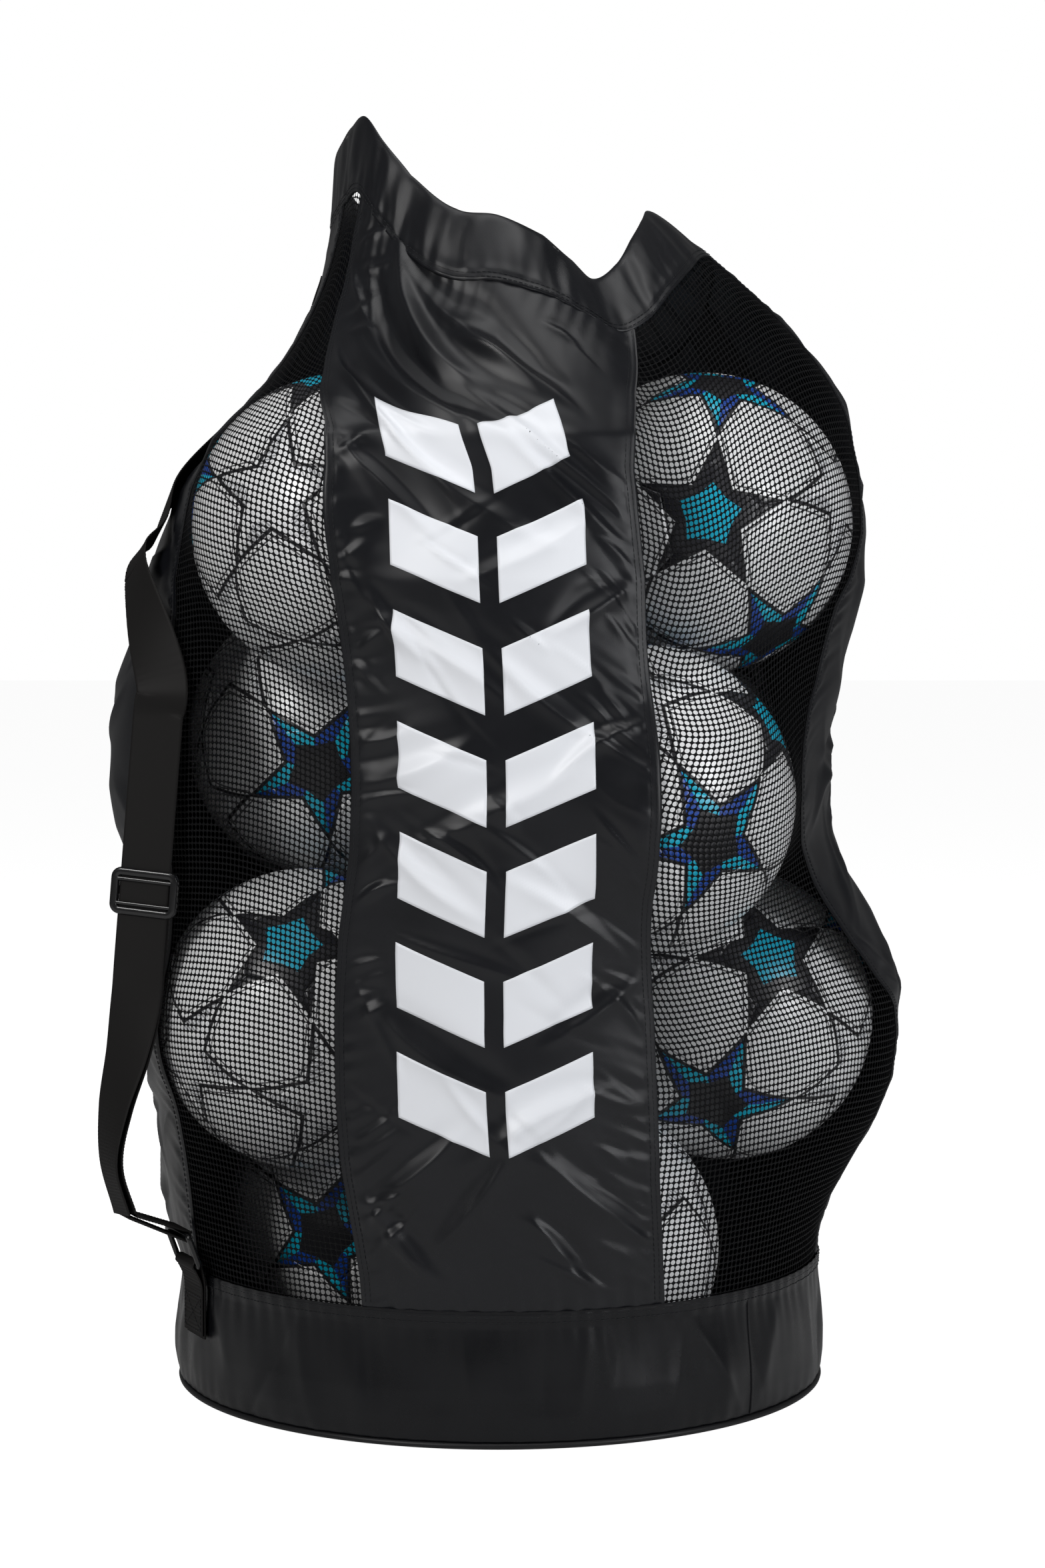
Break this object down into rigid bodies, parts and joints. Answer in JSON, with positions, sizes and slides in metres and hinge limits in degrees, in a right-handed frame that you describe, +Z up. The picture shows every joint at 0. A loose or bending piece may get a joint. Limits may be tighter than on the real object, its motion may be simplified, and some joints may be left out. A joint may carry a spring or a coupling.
{
  "type": "mesh ball bag",
  "caption": "Tall round carry bag of solid and mesh panels for sports balls, with a drawcord mouth, a cord lock and an adjustable webbing shoulder strap, shown full.",
  "frame": {"origin": "centre of the bottom disc's underside, on the floor", "axes": "+Z up the bag, -Y out of the front panel, +X to the right seen from the front; the strap hangs on the -X side"},
  "size_m": [0.5905, 0.5429, 0.9351],
  "materials": {
    "nylon": "black satin coated nylon",
    "net": "black knitted mesh with small round holes",
    "binding": "matt woven binding",
    "webbing": "ribbed webbing",
    "cord": "braided cord",
    "plastic": "moulded, glossy",
    "spring": "bright wire",
    "eyelet": "blackened",
    "board": "sheet stiffener",
    "ball": "pale grained synthetic leather with blue and black accents"
  },
  "bodies": {
    "bag": {"base_disc": "nylon", "base_board": "board", "base_piping": "binding", "base_band": "nylon", "right_panel": "nylon", "mesh_back_right": "net", "back_panel": "nylon", "mesh_back_left": "net", "left_panel": "nylon", "mesh_front_left": "net", "front_panel": "nylon", "mesh_front_right": "net", "seam_tape_1": "binding", "seam_tape_2": "binding", "seam_tape_3": "binding", "seam_tape_4": "binding", "seam_tape_5": "binding", "seam_tape_6": "binding", "seam_tape_7": "binding", "seam_tape_8": "binding", "hem_channel": "nylon", "eyelet_right": "eyelet", "eyelet_left": "eyelet", "drawcord": "cord", "cord_end": "plastic", "strap_upper_tab": "webbing", "strap_shoulder_run": "webbing", "strap_ring_loop": "webbing", "strap_ring": "plastic", "strap_lower_tab": "webbing", "ball_01": "ball", "ball_02": "ball", "ball_03": "ball", "ball_04": "ball", "ball_05": "ball", "ball_06": "ball", "ball_07": "ball", "ball_08": "ball", "ball_09": "ball", "ball_10": "ball"},
    "strap": {"strap_webbing": "webbing", "strap_return": "webbing"},
    "adjuster": {"strap_adjuster": "plastic"},
    "cord_lock": {"cord_lock_barrel": "plastic", "cord_lock_spring": "spring"},
    "lock_button": {"cord_lock_button": "plastic"},
    "loose_ball": {"ball_11": "ball"}
  },
  "joints": [
    {"name": "strap_swing", "type": "hinge", "parent": "bag", "child": "strap", "pos_m": [-0.26461, -0.07587, 0.607], "axis": [0.0649, -0.0734, -0.9952], "range_deg": [0, 55], "deforming": ["strap_shoulder_run", "strap_ring_loop"]},
    {"name": "adjuster_slide", "type": "slide", "parent": "strap", "child": "adjuster", "axis": [0.0866, -0.0173, 0.9961], "range_m": [-0.025, 0.08], "deforming": ["strap_return"]},
    {"name": "cord_lock_slide", "type": "slide", "parent": "bag", "child": "cord_lock", "axis": [0, 0.3872, -0.922], "range_m": [-0.018, 0.07]},
    {"name": "lock_button_press", "type": "slide", "parent": "cord_lock", "child": "lock_button", "axis": [-1, 0, 0], "range_m": [0, 0.004], "stiffness_N_per_m": 400, "deforming": ["cord_lock_spring"]},
    {"name": "ball_lift", "type": "slide", "parent": "bag", "child": "loose_ball", "axis": [0, -0.2, 0.9798], "range_m": [0, 0.3]}
  ]
}
